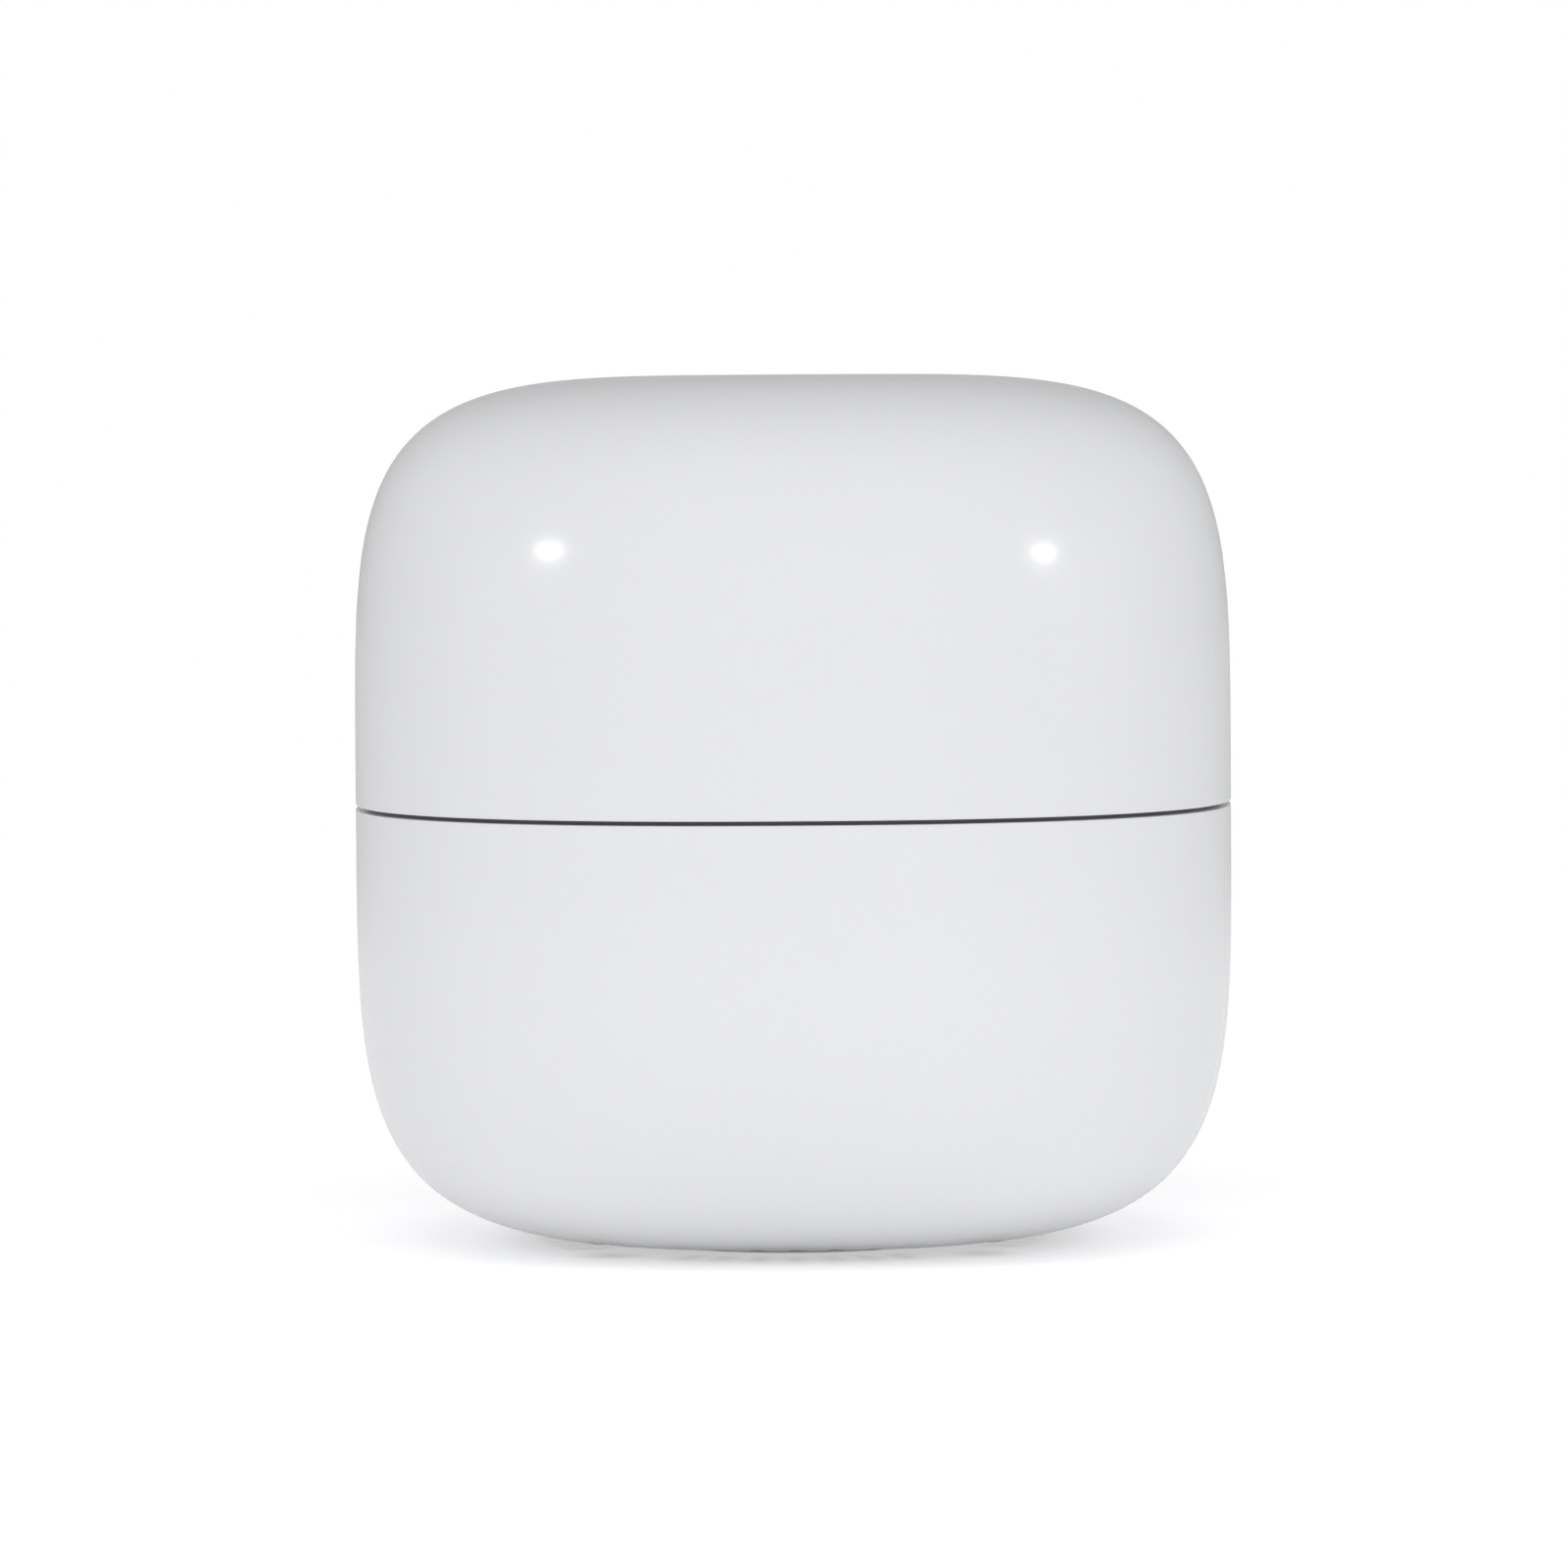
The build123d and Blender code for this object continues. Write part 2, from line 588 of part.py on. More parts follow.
with BuildPart() as crystal:
    with BuildSketch(Plane.XY.offset(BOARD_TOP_Z)):
        with Locations(CRYSTAL_PLACE):
            RectangleRounded(CRYSTAL_WIDTH, CRYSTAL_DEPTH, CRYSTAL_CORNER)
    extrude(amount=CRYSTAL_HEIGHT)

write_part(crystal.part, "crystal")

with BuildPart() as board_passives:
    with BuildSketch(Plane.XY.offset(BOARD_TOP_Z)):
        with Locations(*[(x, PASSIVE_ROW_Y) for x in PASSIVE_ROW_XS]):
            Rectangle(PASSIVE_WIDTH, PASSIVE_LENGTH)
        with Locations(*[(PASSIVE_LEFT_X, y) for y in PASSIVE_LEFT_YS]):
            Rectangle(PASSIVE_LENGTH, PASSIVE_WIDTH)
        with Locations(*[(PASSIVE_RIGHT_X, y) for y in PASSIVE_RIGHT_YS]):
            Rectangle(PASSIVE_LENGTH, PASSIVE_WIDTH)
    extrude(amount=PASSIVE_HEIGHT)
    with BuildSketch(Plane.XY.offset(BOARD_TOP_Z)):
        with Locations(*[(FILTER_X, y) for y in FILTER_YS]):
            Rectangle(FILTER_WIDTH, FILTER_DEPTH)
    extrude(amount=FILTER_HEIGHT)

write_part(board_passives.part, "board_passives")

for side, x in (("left", -CAN_X), ("right", CAN_X)):
    with BuildPart() as shield_can:
        with BuildSketch(Plane.XY.offset(BOARD_TOP_Z)):
            with Locations((x, CAN_Y)):
                RectangleRounded(CAN_WIDTH, CAN_DEPTH, CAN_CORNER)
        extrude(amount=CAN_HEIGHT)
        with BuildSketch(Plane.XY.offset(BOARD_TOP_Z)):
            with Locations((x, CAN_Y)):
                RectangleRounded(
                    CAN_WIDTH - 2 * CAN_SHEET, CAN_DEPTH - 2 * CAN_SHEET, CAN_CORNER - CAN_SHEET
                )
        extrude(amount=CAN_HEIGHT - CAN_SHEET, mode=Mode.SUBTRACT)
        with BuildSketch(Plane.XY.offset(BOARD_TOP_Z + CAN_HEIGHT)):
            with Locations((x, CAN_Y)):
                with GridLocations(CAN_HOLE_PITCH_X, CAN_HOLE_PITCH_Y, CAN_HOLES_X, CAN_HOLES_Y):
                    Circle(CAN_HOLE_RADIUS)
        extrude(amount=-CAN_SHEET, mode=Mode.SUBTRACT)
    write_part(shield_can.part, f"shield_can_{side}")

with BuildPart() as magnetics:
    with BuildSketch(Plane.XY.offset(BOARD_TOP_Z)):
        with Locations(*[(x, MAGNETICS_Y) for x in NETWORK_JACKS.values()]):
            Rectangle(MAGNETICS_WIDTH, MAGNETICS_DEPTH)
    extrude(amount=MAGNETICS_HEIGHT)
    chamfer(magnetics.faces().group_by(Axis.Z)[-1].edges(), MAGNETICS_CHAMFER)

write_part(magnetics.part, "magnetics")

with BuildPart() as power_inductors:
    with BuildSketch(Plane.XY.offset(BOARD_TOP_Z)):
        with Locations(*[(INDUCTOR_X, y) for y in INDUCTOR_YS]):
            RectangleRounded(INDUCTOR_SIDE, INDUCTOR_SIDE, INDUCTOR_CORNER)
    extrude(amount=INDUCTOR_HEIGHT)
    chamfer(power_inductors.faces().group_by(Axis.Z)[-1].edges(), INDUCTOR_CHAMFER)

write_part(power_inductors.part, "power_inductors")

with BuildPart() as bulk_capacitors:
    with BuildSketch(Plane.XY.offset(BOARD_TOP_Z)):
        with Locations(*[(CAPACITOR_X, y) for y in CAPACITOR_YS]):
            Circle(CAPACITOR_RADIUS)
    extrude(amount=CAPACITOR_HEIGHT)
    fillet(bulk_capacitors.faces().group_by(Axis.Z)[-1].edges(), CAPACITOR_FILLET)
    # The bead rolled into the can near its foot.
    with BuildSketch(Plane.XY.offset(BEAD_Z)):
        with Locations(*[(CAPACITOR_X, y) for y in CAPACITOR_YS]):
            Circle(CAPACITOR_RADIUS)
            Circle(CAPACITOR_RADIUS - BEAD_DEPTH, mode=Mode.SUBTRACT)
    extrude(amount=BEAD_HEIGHT, mode=Mode.SUBTRACT)

write_part(bulk_capacitors.part, "bulk_capacitors")


# ------------------------------------------------------------------ heatsink
with BuildPart() as thermal_pad:
    soc_x, soc_y, soc_width, soc_depth, soc_height = CHIPS["soc_chip"]
    with BuildSketch(Plane.XY.offset(BOARD_TOP_Z + soc_height)):
        with Locations((soc_x, soc_y)):
            Rectangle(soc_width, soc_depth)
    extrude(amount=PAD_THICKNESS)

write_part(thermal_pad.part, "thermal_pad")

with BuildPart() as heatsink:
    with BuildSketch(Plane.XY.offset(SINK_BASE_Z)):
        with Locations((0, SINK_Y)):
            Rectangle(SINK_WIDTH, SINK_DEPTH)
    extrude(amount=SINK_BASE_THICKNESS)
    with BuildSketch(Plane.XY.offset(SINK_BASE_Z + SINK_BASE_THICKNESS)):
        with Locations((0, SINK_Y)):
            with GridLocations((SINK_WIDTH - FIN_THICKNESS) / (FIN_COUNT - 1), 1, FIN_COUNT, 1):
                Rectangle(FIN_THICKNESS, SINK_DEPTH)
        with Locations(*SINK_SCREWS):
            Rectangle(SINK_SCREW_POCKET, SINK_SCREW_POCKET, mode=Mode.SUBTRACT)
    extrude(amount=SINK_TOP_Z - SINK_BASE_Z - SINK_BASE_THICKNESS)
    with BuildSketch(Plane.XY.offset(SINK_BASE_Z)):
        with Locations(*SINK_SCREWS):
            Circle(SCREW_SHANK + SCREW_CLEARANCE)
    extrude(amount=SINK_BASE_THICKNESS, mode=Mode.SUBTRACT)

write_part(heatsink.part, "heatsink")

sink_seat_z = SINK_BASE_Z + SINK_BASE_THICKNESS
heatsink_screws = driven_screws(
    SINK_SCREWS, sink_seat_z, -1, SINK_SCREW_HEAD, sink_seat_z - SINK_SCREW_END_Z
)
write_part(heatsink_screws, "heatsink_screws")

with BuildPart() as heatsink_nuts:
    with BuildSketch(Plane.XY.offset(BOARD_BOTTOM_Z)):
        with Locations(*SINK_SCREWS):
            RegularPolygon(NUT_RADIUS, 6)
            Circle(SCREW_SHANK + SCREW_THREAD_GAP, mode=Mode.SUBTRACT)
    extrude(amount=-NUT_THICKNESS)

write_part(heatsink_nuts.part, "heatsink_nuts")


# ------------------------------------------------------------------ port panel
with BuildPart() as port_panel:
    with BuildSketch(wall_plane(TUNNEL_Y)):
        with Locations((0, PORT_Z)):
            RectangleRounded(
                PORT_WIDTH + 2 * TUNNEL_WALL, PORT_HEIGHT + 2 * TUNNEL_WALL, PORT_CORNER
            )
    extrude(amount=FLANGE_THICKNESS)
    add(flange_room, mode=Mode.INTERSECT)
    with BuildSketch(wall_plane(TUNNEL_Y)):
        with Locations((0, PORT_Z)):
            RectangleRounded(
                PORT_WIDTH - 2 * PANEL_GAP, PORT_HEIGHT - 2 * PANEL_GAP, PORT_CORNER - PANEL_GAP
            )
    extrude(amount=-PANEL_THICKNESS)
    # Cut-outs for the jacks and the reset button.
    with BuildSketch(wall_plane(PANEL_FACE_Y)):
        with Locations(*[(x, BOARD_TOP_Z + JACK_HEIGHT / 2) for x in NETWORK_JACKS.values()]):
            Rectangle(JACK_WIDTH + 2 * JACK_CUTOUT_GAP, JACK_HEIGHT + 2 * JACK_CUTOUT_GAP)
        with Locations((POWER_X, BOARD_TOP_Z + POWER_HEIGHT / 2)):
            Rectangle(POWER_WIDTH + 2 * JACK_CUTOUT_GAP, POWER_HEIGHT + 2 * JACK_CUTOUT_GAP)
        with Locations((RESET_X, RESET_Z)):
            Circle(RESET_HOLE_RADIUS)
    extrude(amount=PANEL_THICKNESS + FLANGE_THICKNESS, mode=Mode.SUBTRACT)

write_part(port_panel.part, "port_panel")


# ------------------------------------------------------------------ network jacks
for name, x in NETWORK_JACKS.items():
    centre_z = BOARD_TOP_Z + JACK_HEIGHT / 2
    with BuildPart() as jack_shield:
        with BuildSketch(wall_plane(JACK_FACE_Y)):
            with Locations((x, centre_z)):
                Rectangle(JACK_WIDTH, JACK_HEIGHT)
        extrude(amount=JACK_LENGTH)
        with BuildSketch(wall_plane(JACK_FACE_Y)):
            with Locations((x, centre_z)):
                Rectangle(JACK_WIDTH - 2 * SHIELD_THICKNESS, JACK_HEIGHT - 2 * SHIELD_THICKNESS)
        extrude(amount=JACK_LENGTH - SHIELD_THICKNESS, mode=Mode.SUBTRACT)
    write_part(jack_shield.part, f"{name}_jack_shield")

    with BuildPart() as jack_housing:
        with BuildSketch(wall_plane(JACK_FACE_Y - SHIELD_THICKNESS)):
            with Locations((x, centre_z)):
                Rectangle(JACK_WIDTH - 2 * SHIELD_THICKNESS, JACK_HEIGHT - 2 * SHIELD_THICKNESS)
        extrude(amount=JACK_LENGTH - 2 * SHIELD_THICKNESS)
        with BuildSketch(wall_plane(JACK_FACE_Y)):
            with Locations((x, SOCKET_BOTTOM_Z)):
                Rectangle(SOCKET_WIDTH, SOCKET_HEIGHT, align=(Align.CENTER, Align.MIN))
                Rectangle(LATCH_WIDTH, LATCH_DROP, align=(Align.CENTER, Align.MAX))
        extrude(amount=JACK_FACE_Y - SOCKET_BACK_Y, mode=Mode.SUBTRACT)
        with BuildSketch(wall_plane(JACK_FACE_Y - SHIELD_THICKNESS)):
            with Locations((x - JACK_LAMP_X, JACK_LAMP_Z), (x + JACK_LAMP_X, JACK_LAMP_Z)):
                Rectangle(JACK_LAMP_WIDTH, JACK_LAMP_HEIGHT)
        extrude(amount=JACK_LAMP_LENGTH, mode=Mode.SUBTRACT)
    write_part(jack_housing.part, f"{name}_jack_housing")

    # Clear bars that bring the link and activity lamps to the jack's face.
    with BuildPart() as jack_lamps:
        with BuildSketch(wall_plane(JACK_FACE_Y - SHIELD_THICKNESS)):
            with Locations((x - JACK_LAMP_X, JACK_LAMP_Z), (x + JACK_LAMP_X, JACK_LAMP_Z)):
                Rectangle(JACK_LAMP_WIDTH, JACK_LAMP_HEIGHT)
        extrude(amount=JACK_LAMP_LENGTH)
    write_part(jack_lamps.part, f"{name}_jack_lamps")

    # Spring wires lean from the socket's ceiling down to its back wall.
    low_z = SOCKET_TOP_Z - CONTACT_DROP - CONTACT_THICKNESS
    first_x = x - CONTACT_PITCH * (CONTACT_COUNT - 1) / 2
    with BuildPart() as jack_contacts:
        for step in range(CONTACT_COUNT):
            side_plane = Plane.YZ.offset(first_x + step * CONTACT_PITCH - CONTACT_WIDTH / 2)
            with BuildSketch(side_plane):
                with BuildLine():
                    Polyline(
                        (CONTACT_FRONT_Y, SOCKET_TOP_Z),
                        (CONTACT_BEND_Y, low_z),
                        (SOCKET_BACK_Y, low_z),
                        (SOCKET_BACK_Y, low_z + CONTACT_THICKNESS),
                        (CONTACT_BEND_Y, low_z + CONTACT_THICKNESS),
                        (CONTACT_FRONT_Y - CONTACT_FRONT_LENGTH, SOCKET_TOP_Z),
                        close=True,
                    )
                make_face()
            extrude(amount=CONTACT_WIDTH)
    write_part(jack_contacts.part, f"{name}_jack_contacts")


# ------------------------------------------------------------------ power jack
with BuildPart() as power_jack_housing:
    with BuildSketch(wall_plane(JACK_FACE_Y)):
        with Locations((POWER_X, BOARD_TOP_Z + POWER_HEIGHT / 2)):
            Rectangle(POWER_WIDTH, POWER_HEIGHT)
    extrude(amount=POWER_LENGTH)
    with BuildSketch(wall_plane(JACK_FACE_Y)):
        with Locations((POWER_X, POWER_AXIS_Z)):
            Circle(POWER_HOLE_RADIUS)
    extrude(amount=POWER_HOLE_DEPTH, mode=Mode.SUBTRACT)
    # Slot under the hole for the side spring.
    with BuildSketch(wall_plane(POWER_SLOT_FRONT_Y)):
        with Locations((POWER_X, POWER_SLOT_Z)):
            Rectangle(POWER_SLOT_WIDTH, POWER_SLOT_HEIGHT, align=(Align.CENTER, Align.MIN))
    extrude(amount=POWER_SLOT_LENGTH, mode=Mode.SUBTRACT)

write_part(power_jack_housing.part, "power_jack_housing")

with BuildPart() as power_jack_pin:
    with BuildSketch(wall_plane(POWER_HOLE_BACK_Y)):
        with Locations((POWER_X, POWER_AXIS_Z)):
            Circle(POWER_PIN_RADIUS)
    extrude(amount=-POWER_PIN_LENGTH)
    fillet(power_jack_pin.edges().group_by(Axis.Y)[-1], POWER_PIN_NOSE)

write_part(power_jack_pin.part, "power_jack_pin")

with BuildPart() as power_jack_spring:
    with BuildSketch(Plane.YZ.offset(POWER_X - SPRING_WIDTH / 2)):
        with BuildLine():
            Polyline(
                (SPRING_ROOT_Y, POWER_SLOT_Z),
                (SPRING_ROOT_Y, POWER_SLOT_Z + SPRING_SHEET),
                (SPRING_CREST_Y, POWER_SLOT_Z + SPRING_CREST_RISE + SPRING_SHEET),
                (SPRING_TIP_Y, POWER_SLOT_Z + SPRING_TIP_RISE + SPRING_SHEET),
                (SPRING_TIP_Y, POWER_SLOT_Z + SPRING_TIP_RISE),
                (SPRING_CREST_Y, POWER_SLOT_Z + SPRING_CREST_RISE),
                (SPRING_ROOT_Y + 3 * SPRING_SHEET, POWER_SLOT_Z),
                close=True,
            )
        make_face()
    extrude(amount=SPRING_WIDTH)

write_part(power_jack_spring.part, "power_jack_spring")


# ------------------------------------------------------------------ reset button and its switch
with BuildPart() as reset_button:
    with BuildSketch(wall_plane(RESET_STEM_END_Y)):
        with Locations((RESET_X, RESET_Z)):
            Circle(RESET_STEM_RADIUS)
    extrude(amount=RESET_STEM_END_Y - RESET_FLANGE_Y)
    with BuildSketch(wall_plane(RESET_FLANGE_Y)):
        with Locations((RESET_X, RESET_Z)):
            Circle(RESET_FLANGE_RADIUS)
    extrude(amount=-RESET_FLANGE_THICKNESS)
    with BuildSketch(wall_plane(RESET_FLANGE_Y)):
        with Locations((RESET_X, RESET_Z)):
            Circle(RESET_CAP_RADIUS)
    extrude(amount=RESET_FLANGE_Y - RESET_CAP_FACE_Y)
    fillet(reset_button.edges().group_by(Axis.Y)[-1], RESET_CAP_FILLET)

write_part(reset_button.part, "reset_button")

with BuildPart() as reset_plunger:
    with BuildSketch(wall_plane(RESET_STEM_END_Y)):
        with Locations((RESET_X, RESET_Z)):
            Circle(RESET_STEM_RADIUS)
    extrude(amount=RESET_STEM_END_Y - RESET_PLUNGER_END_Y)

write_part(reset_plunger.part, "reset_plunger")

with BuildPart() as reset_switch:
    with BuildSketch(wall_plane(SWITCH_FACE_Y)):
        with Locations((RESET_X, BOARD_TOP_Z)):
            Rectangle(SWITCH_WIDTH, SWITCH_HEIGHT, align=(Align.CENTER, Align.MIN))
    extrude(amount=SWITCH_FACE_Y - SWITCH_BACK_Y)
    with BuildSketch(wall_plane(SWITCH_FACE_Y)):
        with Locations((RESET_X, RESET_Z)):
            Circle(SWITCH_HOLE_RADIUS)
    extrude(amount=SWITCH_FACE_Y - SWITCH_HOLE_BACK_Y, mode=Mode.SUBTRACT)

write_part(reset_switch.part, "reset_switch")


# ------------------------------------------------------------------ status light
with BuildPart() as status_led:
    with BuildSketch(Plane.XY.offset(BOARD_TOP_Z)):
        with Locations((0, LAMP_Y)):
            Rectangle(LAMP_WIDTH, LAMP_DEPTH)
    extrude(amount=LAMP_HEIGHT)

write_part(status_led.part, "status_led")

with BuildPart() as light_pipe:
    with BuildSketch(wall_plane(PIPE_INNER_Y)):
        with Locations((0, LAMP_Z)):
            Circle(PIPE_RADIUS)
    extrude(amount=PIPE_INNER_Y - PIPE_OUTER_Y)

write_part(light_pipe.part, "light_pipe")


# ------------------------------------------------------------------ antenna carrier
def antenna_wall():
    """The front antenna's wall and its two gussets."""
    with BuildPart() as wall:
        with BuildSketch(Plane.XY.offset(CARRIER_Z + CARRIER_THICKNESS)):
            with Locations((0, (WALL_INNER_Y + WALL_OUTER_Y) / 2)):
                Rectangle(2 * WALL_HALF, WALL_INNER_Y - WALL_OUTER_Y)
        extrude(amount=WALL_TOP_Z - CARRIER_Z - CARRIER_THICKNESS)
        for x in (-GUSSET_X, GUSSET_X):
            with BuildSketch(Plane.YZ.offset(x - GUSSET_THICKNESS / 2)):
                with BuildLine():
                    Polyline(
                        (WALL_INNER_Y, CARRIER_Z + CARRIER_THICKNESS),
                        (WALL_INNER_Y + GUSSET_DEPTH, CARRIER_Z + CARRIER_THICKNESS),
                        (WALL_INNER_Y, GUSSET_TOP_Z),
                        close=True,
                    )
                make_face()
            extrude(amount=GUSSET_THICKNESS)
    return wall.part


wall_blank = antenna_wall()
wall_copies = [wall_blank.rotate(Axis.Z, turn) for turn in ANTENNA_TURNS.values()]
lead_holes = [
    Vector(*LEAD_HOLE, 0).rotate(Axis.Z, turn) for turn in ANTENNA_TURNS.values()
]

with BuildPart() as antenna_carrier:
    with BuildSketch(Plane.XY.offset(CARRIER_Z)):
        add(squircle_face(CARRIER_OUTER))
        add(squircle_face(CARRIER_INNER), mode=Mode.SUBTRACT)
        with Locations(*lead_holes):
            Circle(LEAD_HOLE_RADIUS, mode=Mode.SUBTRACT)
    extrude(amount=CARRIER_THICKNESS)
    add(wall_copies)

write_part(antenna_carrier.part, "antenna_carrier")


# ------------------------------------------------------------------ antennas, leads and plugs
with BuildPart() as antenna:
    with BuildSketch(wall_plane(WALL_OUTER_Y)):
        with Locations((0, ANTENNA_Z)):
            Rectangle(ANTENNA_WIDTH, ANTENNA_HEIGHT)
        with Locations((ANTENNA_WIDTH / 2, ANTENNA_Z - ANTENNA_HEIGHT / 6)):
            Rectangle(
                ANTENNA_CUT_LENGTH, ANTENNA_CUT, align=(Align.MAX, Align.CENTER), mode=Mode.SUBTRACT
            )
        with Locations((-ANTENNA_WIDTH / 2, ANTENNA_Z + ANTENNA_HEIGHT / 6)):
            Rectangle(
                ANTENNA_CUT_LENGTH, ANTENNA_CUT, align=(Align.MIN, Align.CENTER), mode=Mode.SUBTRACT
            )
    extrude(amount=ANTENNA_SHEET)

lead_end_y = WALL_OUTER_Y - ANTENNA_SHEET - LEAD_RADIUS
with BuildPart() as antenna_lead:
    with BuildLine() as lead_route:
        FilletPolyline(
            (PLUG_X - PLUG_SIDE / 2, PLUG_Y, LEAD_Z),
            (LEAD_TURN_X, PLUG_Y, LEAD_Z),
            LEAD_FOOT,
            LEAD_NECK,
            (LEAD_BEND_X, lead_end_y - LEAD_OFF_SHEET, LEAD_BEND_Z),
            (LEAD_END_X, lead_end_y, LEAD_END_Z),
            radius=LEAD_CORNERS,
        )
    with BuildSketch(Plane(lead_route.line @ 0, z_dir=lead_route.line % 0)):
        Circle(LEAD_RADIUS)
    sweep()

with BuildPart() as rf_plug:
    with BuildSketch(Plane.XY.offset(BOARD_TOP_Z)):
        with Locations((PLUG_X, PLUG_Y)):
            Rectangle(PLUG_SIDE, PLUG_SIDE)
    extrude(amount=PLUG_HEIGHT)
    chamfer(rf_plug.edges().group_by(Axis.Z)[-1], PLUG_CHAMFER)

for side, turn in ANTENNA_TURNS.items():
    write_part(antenna.part.rotate(Axis.Z, turn), f"antenna_{side}")
    write_part(antenna_lead.part.rotate(Axis.Z, turn), f"antenna_lead_{side}")
    write_part(rf_plug.part.rotate(Axis.Z, turn), f"rf_plug_{side}")
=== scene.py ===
import json
import math

import bpy
from mathutils import Matrix, Vector

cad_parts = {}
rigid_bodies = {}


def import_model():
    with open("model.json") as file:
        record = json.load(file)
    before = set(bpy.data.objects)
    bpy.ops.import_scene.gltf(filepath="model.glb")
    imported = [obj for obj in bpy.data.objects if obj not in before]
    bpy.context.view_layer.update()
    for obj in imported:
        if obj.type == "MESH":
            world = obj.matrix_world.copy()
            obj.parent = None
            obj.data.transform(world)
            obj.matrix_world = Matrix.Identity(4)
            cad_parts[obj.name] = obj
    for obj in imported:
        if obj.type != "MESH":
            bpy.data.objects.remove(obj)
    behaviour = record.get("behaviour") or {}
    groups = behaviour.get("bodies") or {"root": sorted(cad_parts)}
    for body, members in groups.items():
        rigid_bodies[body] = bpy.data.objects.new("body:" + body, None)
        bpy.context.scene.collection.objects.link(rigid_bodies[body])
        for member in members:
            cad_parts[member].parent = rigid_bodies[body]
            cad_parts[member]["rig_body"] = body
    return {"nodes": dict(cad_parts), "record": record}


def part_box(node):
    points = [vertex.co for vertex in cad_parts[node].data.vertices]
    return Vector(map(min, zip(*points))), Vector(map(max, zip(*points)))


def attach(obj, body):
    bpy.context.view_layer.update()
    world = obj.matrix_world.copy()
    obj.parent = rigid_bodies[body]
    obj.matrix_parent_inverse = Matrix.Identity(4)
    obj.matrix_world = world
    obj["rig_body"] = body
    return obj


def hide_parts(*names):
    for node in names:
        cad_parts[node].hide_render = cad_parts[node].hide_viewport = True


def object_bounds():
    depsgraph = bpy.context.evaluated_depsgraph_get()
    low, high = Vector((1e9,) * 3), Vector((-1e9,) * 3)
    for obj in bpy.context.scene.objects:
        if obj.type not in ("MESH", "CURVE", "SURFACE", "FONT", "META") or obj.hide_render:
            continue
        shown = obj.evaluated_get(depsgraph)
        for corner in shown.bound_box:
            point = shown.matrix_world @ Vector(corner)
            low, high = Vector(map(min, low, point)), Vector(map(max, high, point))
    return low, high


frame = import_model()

# A mesh wifi node: a glossy white soft cube in two shells, with ports at the rear (+Y).
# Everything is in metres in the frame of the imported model.

MM = 0.001
cad_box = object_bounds()
nodes = frame["nodes"]
record_slots = {part["node"]: part["material_slot"] for part in frame["record"]["subparts"]}

# The body's form: a squircle in plan and a superellipse in each upright profile.
ring_low, ring_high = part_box("mid_frame")
HALF_WIDTH = 44.0 * MM
PLAN_EXPONENT = 2.4
UPPER_EXPONENT = 4.67
LOWER_EXPONENT = 4.42
FOOT_PROUD = 0.25 * MM  # how far the pads stand below the shell
SEAM_Z = (ring_low.z + ring_high.z) / 2
UPPER_HEIGHT = cad_box[1].z - SEAM_Z
LOWER_HEIGHT = SEAM_Z - FOOT_PROUD


def add_node(tree, kind, **values):
    """A new shader node. Each value goes to the input of that name, with _ for a space."""
    node = tree.nodes.new("ShaderNode" + kind)
    for name, value in values.items():
        node.inputs[name.replace("_", " ")].default_value = value
    return node


def set_ramp(node, low_at, low_colour, high_at, high_colour):
    """Sets the colours that a ramp runs between, and the positions where it starts and ends."""
    for stop, position, colour in zip(node.color_ramp.elements, (low_at, high_at), (low_colour, high_colour)):
        stop.position = position
        stop.color = (*colour, 1)


# ------------------------------------------------------------------ camera
CAMERA_DISTANCE = 0.9
CAMERA_ELEVATION = math.radians(2.7)
CAMERA_ROLL = math.radians(-0.37)
CAMERA_LENS = 204.9
CAMERA_CLIP = (0.05, 20)
AIM_OFFSET = Vector((-0.93 * MM, 0, 1.75 * MM))  # from the seam's middle to the middle of the view


def make_camera():
    """Looks at the front from just above the seam's height."""
    data = bpy.data.cameras.new("camera")
    data.lens = CAMERA_LENS
    data.clip_start, data.clip_end = CAMERA_CLIP
    camera = bpy.data.objects.new("camera", data)
    bpy.context.scene.collection.objects.link(camera)
    back = Vector((0, -math.cos(CAMERA_ELEVATION), math.sin(CAMERA_ELEVATION)))
    camera.location = Vector((0, 0, SEAM_Z)) + AIM_OFFSET + back * CAMERA_DISTANCE
    look = (-back).to_track_quat("-Z", "Y").to_matrix()
    camera.rotation_euler = (look @ Matrix.Rotation(CAMERA_ROLL, 3, "Z")).to_euler()
    bpy.context.scene.camera = camera


# ------------------------------------------------------------------ light and floor
KEY_DISTANCE = 1.0
FILL_DISTANCE = 1.6

# Name, azimuth and elevation in degrees, width and height in metres, power in watts.
# Azimuth 0 is in front of the object, and 90 at its right.
# The keys are small and make the two highlights. The fills are broad and leave no reflection.
KEYS = (
    ("key_left", -54.9, 18.5, 0.135, 0.026, 0.58),
    ("key_right", 57.6, 16.9, 0.115, 0.02, 0.47),
)
FILLS = (
    ("front_fill", 0, 6, 1.6, 1.2, 8.6),
    ("high_fill", 0, 60, 1.4, 1.0, 6.2),
    ("top_fill", 0, 85, 1.2, 1.2, 2.2),
    ("left_fill", -75, 3, 1.0, 0.8, 3.6),
    ("right_fill", 75, 3, 1.0, 0.8, 4.9),
    ("rear_left_fill", -145, 25, 1.2, 1.2, 4.5),
    ("rear_right_fill", 145, 25, 1.2, 1.2, 4.5),
)

SEEN_COLOUR = (1, 1, 1, 1)  # the surroundings, where the camera looks straight at them
ROOM_STRENGTH = 0.42
ROOM_LOW = (1, 1, 1.01)  # the light that comes level from the surroundings
ROOM_HIGH = (0.6, 0.6, 0.61)  # the light that comes from above ROOM_HIGH_AT
ROOM_HIGH_AT = 0.9

